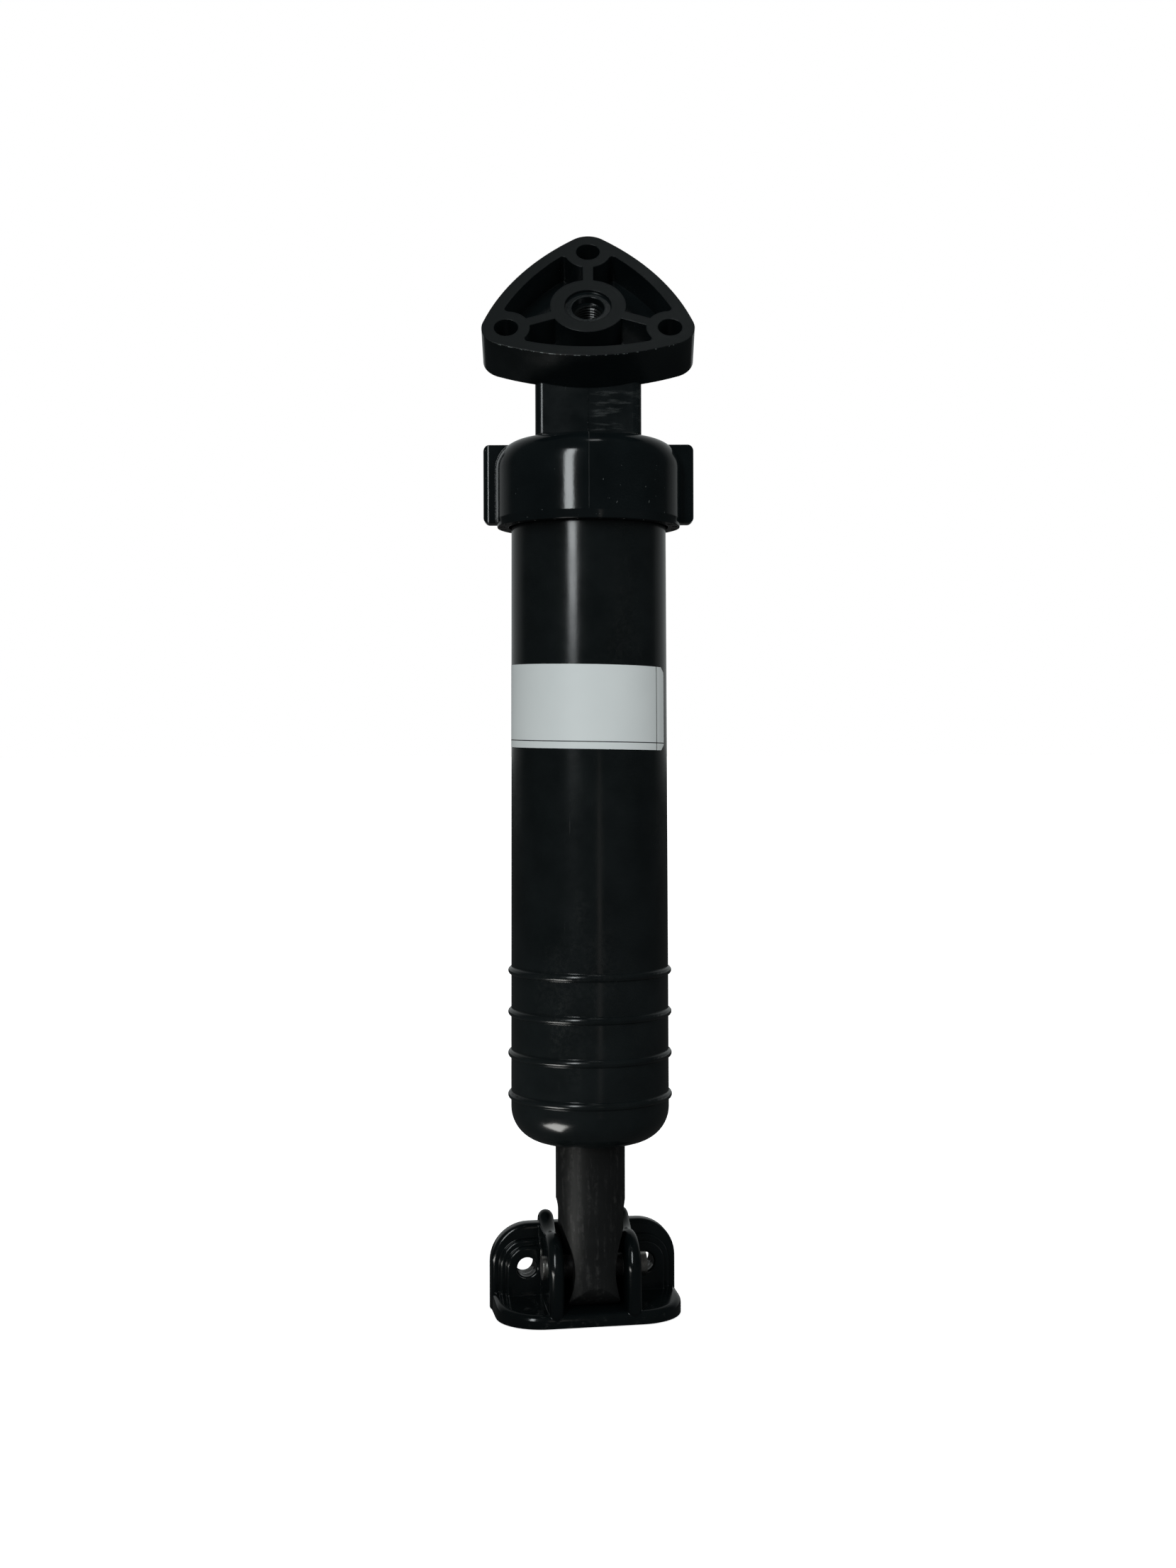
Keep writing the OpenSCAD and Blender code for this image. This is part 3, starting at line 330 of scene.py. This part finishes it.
RUBBER = rubber("seal_rubber")
BUFF = machined("piston_buff", (0.46, 0.42, 0.32))
IVORY = machined("bearing_ivory", (0.66, 0.63, 0.56))
SLOTS = {
    "upper_hinge": "black_moulding", "end_cap": "black_gloss", "barrel": "black_barrel",
    "ram": "grey_ram", "lower_hinge": "black_gloss",
}
for part in ("upper_hinge_pins", "return_spring", "spring_seat", "piston_washer", "piston_nut"):
    MATERIALS[part], SLOTS[part] = STEEL, "stainless"
MATERIALS["lower_hinge_pin"], SLOTS["lower_hinge_pin"] = pin_steel(), "stainless"
for part in ("hinge_pin_seals", "cap_seal", "ram_wiper", "piston_seal"):
    MATERIALS[part], SLOTS[part] = RUBBER, "seal_rubber"
MATERIALS["piston"], SLOTS["piston"] = BUFF, "piston_plastic"
for part in ("ram_bush", "piston_wear_ring"):
    MATERIALS[part], SLOTS[part] = IVORY, "bearing_plastic"

for part, obj in frame["nodes"].items():
    obj.data.materials.clear()
    obj.data.materials.append(MATERIALS[part])


# ---------------------------------------------------------------- pieces

def mesh(name, verts, faces, material, body, smooth=True):
    """A piece from its points and faces, with its own material."""
    data = bpy.data.meshes.new(name)
    data.from_pydata(verts, [], faces)
    data.update()
    if smooth:
        data.polygons.foreach_set("use_smooth", [True] * len(data.polygons))
    obj = bpy.data.objects.new(name, data)
    bpy.context.scene.collection.objects.link(obj)
    data.materials.append(material)
    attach(obj, body)
    return obj


BARREL_TOP_RADIUS = 18.88                         # in mm, where the barrel leaves the cap
BARREL_GROWTH = 0.45                              # how much the radius grows down to the round end
BARREL_ROUND_TOP = PIVOT.z - 173.5 * MM

# Label: a thin sheet on the barrel, from the right of the front round to the left and back
LABEL_TOP = PIVOT.z - 66.2 * MM
LABEL_BOTTOM = PIVOT.z - 86.2 * MM
LABEL_RIGHT = math.radians(71.0)
LABEL_LENGTH = 52.0 * MM
LABEL_LIFT = 0.06 * MM
LABEL_CORNER = 1.9 * MM
LABEL_SLANT = 0.018
LABEL_UPRIGHT, LABEL_LEVEL = 4.3, 1.75            # its rule lines, in mm from the right end and lower edge


def barrel_radius(z):
    """Radius of the tapered barrel at a height."""
    share = (CAP_BOTTOM - z) / (CAP_BOTTOM - BARREL_ROUND_TOP)
    return (BARREL_TOP_RADIUS + BARREL_GROWTH * share) * MM


def label_material():
    """Blank white paper with two thin rule lines."""
    m = Mat("label_white")
    grain = m.noise(1400.0, 3.0, 0.6)
    soft = m.noise(80.0, 2.0, 0.5)
    white = m.mix(soft, (0.82, 0.86, 0.855), (0.75, 0.79, 0.79))
    uv = m.t.nodes.new("ShaderNodeUVMap")
    uv.uv_map = "sheet"
    s = m.node("ShaderNodeSeparateXYZ", {"Vector": uv.outputs[0]})
    u, v = s.outputs[0], s.outputs[1]          # millimetres from the right end and the lower edge
    upright = m.near(u, LABEL_UPRIGHT, 0.11, 0.05)
    level = m.near(v, LABEL_LEVEL, 0.09, 0.05)
    lines = m.math("MAXIMUM", upright, level)
    m.link(m.mix(lines, white, (0.02, 0.02, 0.02)), "Base Color")
    m.link(m.ramp(grain, 0.3, 0.7, 0.42, 0.55), "Roughness")
    m.bump([(grain, 0.01, 0.4), (soft, 0.05, 0.4)])
    return m.m


def label():
    """A grid bent round the barrel, a little out of level, with its two right corners rounded."""
    cols, rows = 72, 16
    verts, uvs, faces = [], [], []
    height = LABEL_TOP - LABEL_BOTTOM
    for j in range(rows + 1):
        for i in range(cols + 1):
            u = LABEL_LENGTH * i / cols                   # from the right end
            v = height * j / rows
            # the right corners are rounded by pulling in the ends of the rows
            edge = min(v, height - v)
            inset = max(0.0, LABEL_CORNER - edge)
            pull = LABEL_CORNER - math.sqrt(LABEL_CORNER ** 2 - inset ** 2)
            uu = u + pull * (1 - i / cols)
            slant = LABEL_SLANT * (LABEL_LENGTH * 0.5 - uu)
            z = LABEL_BOTTOM + v - slant
            r = barrel_radius(z) + LABEL_LIFT
            a = LABEL_RIGHT - uu / r
            verts.append((r * math.sin(a), PIVOT.y - r * math.cos(a), z))
            uvs.append((uu / MM, v / MM))
    for j in range(rows):
        for i in range(cols):
            a = j * (cols + 1) + i
            faces.append((a, a + cols + 1, a + cols + 2, a + 1))
    obj = mesh("label", verts, faces, label_material(), "cylinder")
    layer = obj.data.uv_layers.new(name="sheet")
    for loop in obj.data.loops:
        layer.data[loop.index].uv = uvs[loop.vertex_index]


def port_thread():
    """Thread in the hose port: a helical ridge that stands in from the bore's wall."""
    pitch, turns, steps = 0.79 * MM, 7.2, 40
    outer, inner, sunk = 3.55 * MM, 3.18 * MM, 0.02 * MM
    first, run_out = 0.35 * MM, 14.0              # depth of the first turn, and the steps its ends fade over
    half, crest = pitch * 0.42, 0.18
    right = Vector((1, 0, 0))
    verts, faces = [], []
    count = int(turns * steps)
    for i in range(count + 1):
        a = 2 * math.pi * i / steps
        out = right * math.cos(a) + FACE_UP * math.sin(a)
        depth = first + pitch * i / steps
        base = -FACE_N * depth
        fade = min(1.0, i / run_out, (count - i) / run_out)
        tip = outer - (outer - inner) * fade
        profile = ((outer + sunk, -half), (tip, -half * crest), (tip, half * crest), (outer + sunk, half))
        for r, d in profile:
            verts.append(base + out * r - FACE_N * d)
    for i in range(count):
        for k in range(3):
            a = i * 4 + k
            faces.append((a, a + 1, a + 5, a + 4))
    m = plastic("thread_black", (0.006, 0.0075, 0.0075), 0.22, spread=0.04, edge=0.0)
    mesh("port_thread", verts, faces, m, "upper_hinge", smooth=False)


def arc(centre, radius, start, end, count=14):
    """Points of an arc from one angle to another, in degrees."""
    turn = [math.radians(start + (end - start) * i / count) for i in range(count + 1)]
    return [(centre[0] + radius * math.cos(a), centre[1] + radius * math.sin(a)) for a in turn]


def slab(loops, low, high, edge, place):
    """A plate between two levels with rounded edges; place turns its own (x, y, level) into (u, w, h)."""
    curve = bpy.data.curves.new("slab", "CURVE")
    curve.dimensions, curve.fill_mode = "2D", "BOTH"
    for loop in loops:
        spline = curve.splines.new("POLY")
        spline.points.add(len(loop) - 1)
        for point, (x, y) in zip(spline.points, loop):
            point.co = (x, y, 0.0, 1.0)
        spline.use_cyclic_u = True
    curve.extrude = max(0.001, (high - low) / 2 - edge)
    curve.bevel_depth, curve.bevel_resolution, curve.offset = edge, 4, -edge
    obj = bpy.data.objects.new("slab", curve)
    bpy.context.scene.collection.objects.link(obj)
    data = bpy.data.meshes.new_from_object(obj.evaluated_get(bpy.context.evaluated_depsgraph_get()))
    bpy.data.objects.remove(obj)
    for v in data.vertices:
        v.co = place(v.co.x, v.co.y, v.co.z + (low + high) / 2)
    return data


def upright(x, y, level):
    """A plate that faces the camera's side."""
    return (x, level, y)


def sideways(x, y, level):
    """A plate across the pin."""
    return (level, x, y)


def lower_hinge():
    """Plate, foot, four raised steps and two ears as one moulding in place of the plainer CAD piece."""
    step_low = FOOT_LOW + 0.4
    parts = []
    holes = [arc((side * HOLE_U, HOLE_H), HOLE_RADIUS, 0, 345, 23) for side in (-1, 1)]
    corner = PLATE_HALF - PLATE_CORNER
    back = arc((corner, PLATE_TOP - PLATE_CORNER), PLATE_CORNER, 0, 90)
    back += arc((-corner, PLATE_TOP - PLATE_CORNER), PLATE_CORNER, 90, 180)
    back += [(-PLATE_HALF, FOOT_LOW), (PLATE_HALF, FOOT_LOW)]
    parts.append(slab([back] + holes, PLATE_FRONT, PLATE_BACK, PLATE_EDGE, upright))

    corner = FOOT_HALF - FOOT_CORNER
    foot = [(FOOT_HALF, PLATE_BACK), (-FOOT_HALF, PLATE_BACK)]
    foot += arc((-corner, FOOT_FRONT + FOOT_CORNER), FOOT_CORNER, 180, 270)
    foot += arc((corner, FOOT_FRONT + FOOT_CORNER), FOOT_CORNER, 270, 360)
    depth = PLATE_FRONT - FOOT_FRONT

    def on_foot(x, y, level):
        """The foot's upper face rises towards the plate; its lower face is flat."""
        rise = FOOT_RISE * min(1.0, (y - FOOT_FRONT) / depth)
        middle = (FOOT_TOP + FOOT_BOTTOM) / 2
        return (x, y, level + rise if level > middle else max(level, FOOT_BOTTOM))

    # The slab reaches below the foot, so that only its upper edge stays round once the bottom is level
    parts.append(slab([foot], FOOT_BOTTOM - FOOT_EDGE + 0.1, FOOT_TOP, FOOT_EDGE, on_foot))

    # Each step runs into the ear and the foot; the inner one lines the screw hole through to the plate's back
    ear_middle = (EAR_INNER + EAR_OUTER) / 2
    rears = (PLATE_FRONT + 0.8, PLATE_BACK - 0.02)
    for side, hole in zip((-1, 1), holes):
        for (radius, front), rear in zip(STEPS, rears):
            step = [(ear_middle, HOLE_H + radius)] + arc((HOLE_U, HOLE_H), radius, 90, 0)
            step += [(HOLE_U + radius, step_low), (ear_middle, step_low)]
            outline = [(side * x, y) for x, y in step]
            parts.append(slab([outline, hole], front, rear, STEP_EDGE, upright))

    # The hollow's circle touches both the nose and the knob
    reach = math.hypot(KNOB_W, KNOB_H)
    along = ((NOSE + HOLLOW) ** 2 - (KNOB + HOLLOW) ** 2 + reach ** 2) / (2 * reach)
    across = math.sqrt((NOSE + HOLLOW) ** 2 - along ** 2)
    hollow = ((along * KNOB_W - across * KNOB_H) / reach, (along * KNOB_H + across * KNOB_W) / reach)
    nose_end = math.degrees(math.atan2(hollow[1], hollow[0]))
    knob_start = math.degrees(math.atan2(hollow[1] - KNOB_H, hollow[0] - KNOB_W))
    ear = arc((0, 0), NOSE, 180, nose_end)
    ear += arc(hollow, HOLLOW, nose_end + 180, knob_start + 180)[1:-1]
    ear += arc((KNOB_W, KNOB_H), KNOB, knob_start, 0)
    ear += [(KNOB_W + KNOB, FOOT_LOW + 1.0)]
    ear += arc((EAR_TOE - NOSE, FOOT_LOW + 2.8), EAR_TOE, 270, 180, 6)
    for side in (-1, 1):
        low, high = sorted((side * EAR_INNER, side * EAR_OUTER))
        parts.append(slab([ear], low, high, (high - low) / 2 - 0.01, sideways))

    form = bmesh.new()
    for data in parts:
        form.from_mesh(data)
    bmesh.ops.remove_doubles(form, verts=form.verts, dist=1e-4)
    bmesh.ops.recalc_face_normals(form, faces=form.faces)
    pin = PIVOT - Vector((0, 0, PIN_DROP))
    form.transform(Matrix.Translation(pin) @ Matrix.Rotation(YAW, 4, "Z") @ Matrix.Scale(MM, 4))
    data = bpy.data.meshes.new("lower_hinge_moulding")
    form.to_mesh(data)
    form.free()
    data.polygons.foreach_set("use_smooth", [True] * len(data.polygons))
    data.set_sharp_from_angle(angle=math.radians(32))
    obj = bpy.data.objects.new("lower_hinge_moulding", data)
    bpy.context.scene.collection.objects.link(obj)
    data.materials.append(MATERIALS["lower_hinge"])
    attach(obj, "lower_hinge")
    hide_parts("lower_hinge")


label()
port_thread()
lower_hinge()


# ---------------------------------------------------------------- floor, backdrop, light

def floor():
    """White for the camera and dim for everything else, so that it throws little light up."""
    data = bpy.data.meshes.new("floor")
    r = 30.0
    corners = [(-r, -r, FLOOR_Z), (r, -r, FLOOR_Z), (r, r, FLOOR_Z), (-r, r, FLOOR_Z)]
    data.from_pydata(corners, [], [(0, 1, 2, 3)])
    obj = bpy.data.objects.new("floor", data)
    bpy.context.scene.collection.objects.link(obj)
    m = Mat("floor_white")
    t = m.t
    path = t.nodes.new("ShaderNodeLightPath")
    m.link(m.mix(path.outputs["Is Camera Ray"], (0.06, 0.06, 0.06), (0.9, 0.9, 0.9)), "Base Color")
    m.set("Roughness", 0.8)
    m.set("Specular IOR Level", 0.0)
    far = m.node("ShaderNodeVectorMath", {0: m.coord}, operation="LENGTH").outputs["Value"]
    glow = m.math("MULTIPLY", path.outputs["Is Camera Ray"], m.ramp(far, 0.25, 0.9, 0.78, 1.0))
    m.set("Emission Color", (1.0, 1.0, 1.0, 1.0))
    m.link(glow, "Emission Strength")
    data.materials.append(m.m)


def world():
    """White for the camera; a pale backdrop and a dim room for reflections; an even soft fill otherwise."""
    w = bpy.data.worlds.new("studio")
    bpy.context.scene.world = w
    w.use_nodes = True
    t = w.node_tree
    t.nodes.clear()
    path = t.nodes.new("ShaderNodeLightPath")
    coord = t.nodes.new("ShaderNodeTexCoord")
    split = t.nodes.new("ShaderNodeSeparateXYZ")
    t.links.new(coord.outputs["Generated"], split.inputs[0])
    back = t.nodes.new("ShaderNodeMapRange")
    for key, value in (("From Min", 0.35), ("From Max", 1.0), ("To Min", 0.025), ("To Max", 0.38)):
        back.inputs[key].default_value = value
    t.links.new(split.outputs[1], back.inputs["Value"])
    out = t.nodes.new("ShaderNodeOutputWorld")
    soft, room, white = (t.nodes.new("ShaderNodeBackground") for _ in range(3))
    soft.inputs["Color"].default_value = (0.97, 1.0, 1.0, 1.0)
    soft.inputs["Strength"].default_value = 0.38
    room.inputs["Color"].default_value = (0.95, 1.0, 1.0, 1.0)
    t.links.new(back.outputs[0], room.inputs["Strength"])
    white.inputs["Color"].default_value = (1.0, 1.0, 1.0, 1.0)
    white.inputs["Strength"].default_value = 1.0
    glossy, camera = (t.nodes.new("ShaderNodeMixShader") for _ in range(2))
    t.links.new(path.outputs["Is Glossy Ray"], glossy.inputs[0])
    t.links.new(soft.outputs[0], glossy.inputs[1])
    t.links.new(room.outputs[0], glossy.inputs[2])
    t.links.new(path.outputs["Is Camera Ray"], camera.inputs[0])
    t.links.new(glossy.outputs[0], camera.inputs[1])
    t.links.new(white.outputs[0], camera.inputs[2])
    t.links.new(camera.outputs[0], out.inputs[0])


def area(name, place, target, width, height, radiance, colour, shine=True):
    """A lamp of even radiance aimed at a point; without shine it lights but isn't mirrored."""
    data = bpy.data.lights.new(name, "AREA")
    data.shape = "RECTANGLE"
    data.size, data.size_y = width, height
    data.energy = radiance * math.pi * width * height
    data.color = colour
    obj = bpy.data.objects.new(name, data)
    bpy.context.scene.collection.objects.link(obj)
    obj.location = place
    obj.rotation_euler = (Vector(target) - Vector(place)).to_track_quat("-Z", "Y").to_euler()
    obj.visible_camera = False
    obj.visible_glossy = shine


def around(azimuth, distance, z):
    """A point at an azimuth from the camera's side, positive to the right."""
    a = math.radians(azimuth)
    return (distance * math.sin(a), PIVOT.y - distance * math.cos(a), z)


floor()
world()
area("window", around(-23.5, 0.75, EYE + 0.36), (0, PIVOT.y, EYE + 0.16), 0.15, 0.56,
     radiance=9.5, colour=(0.93, 0.985, 1.0))
area("low_left", around(-50, 0.085, FLOOR_Z + 0.003), around(-46, 0.080, FLOOR_Z + 1.0), 0.045, 0.045,
     radiance=9.0, colour=(1.0, 1.0, 0.96))
area("warm_right", around(14, 0.26, PIVOT.z - 0.150), (0, PIVOT.y, PIVOT.z - 0.150), 0.012, 0.12,
     radiance=0.5, colour=(1.0, 0.93, 0.88))
area("ceiling", (0.05, -0.10, 0.55), (0, PIVOT.y, 0.0), 0.10, 0.06,
     radiance=2.4, colour=(0.96, 1.0, 1.0))
area("fill_right", around(48, 1.1, EYE + 0.25), (0, PIVOT.y, EYE), 0.9, 0.9,
     radiance=1.3, colour=(0.97, 1.0, 1.0), shine=False)

cam_data = bpy.data.cameras.new("camera")
cam = bpy.data.objects.new("camera", cam_data)
bpy.context.scene.collection.objects.link(cam)
cam_data.sensor_width = SENSOR
cam_data.lens = FOCAL_PX / PHOTO_HEIGHT * SENSOR
cam_data.shift_y = -(PHOTO_HEIGHT / 2 - HORIZON_PX) / PHOTO_HEIGHT
cam_data.clip_start = 0.01
cam.location = (CAMERA_SIDE, PIVOT.y - CAMERA_DISTANCE, EYE)
cam.rotation_euler = (math.radians(90.0), CAMERA_ROLL, 0.0)
bpy.context.scene.camera = cam
bpy.context.scene.view_settings.view_transform = "Standard"
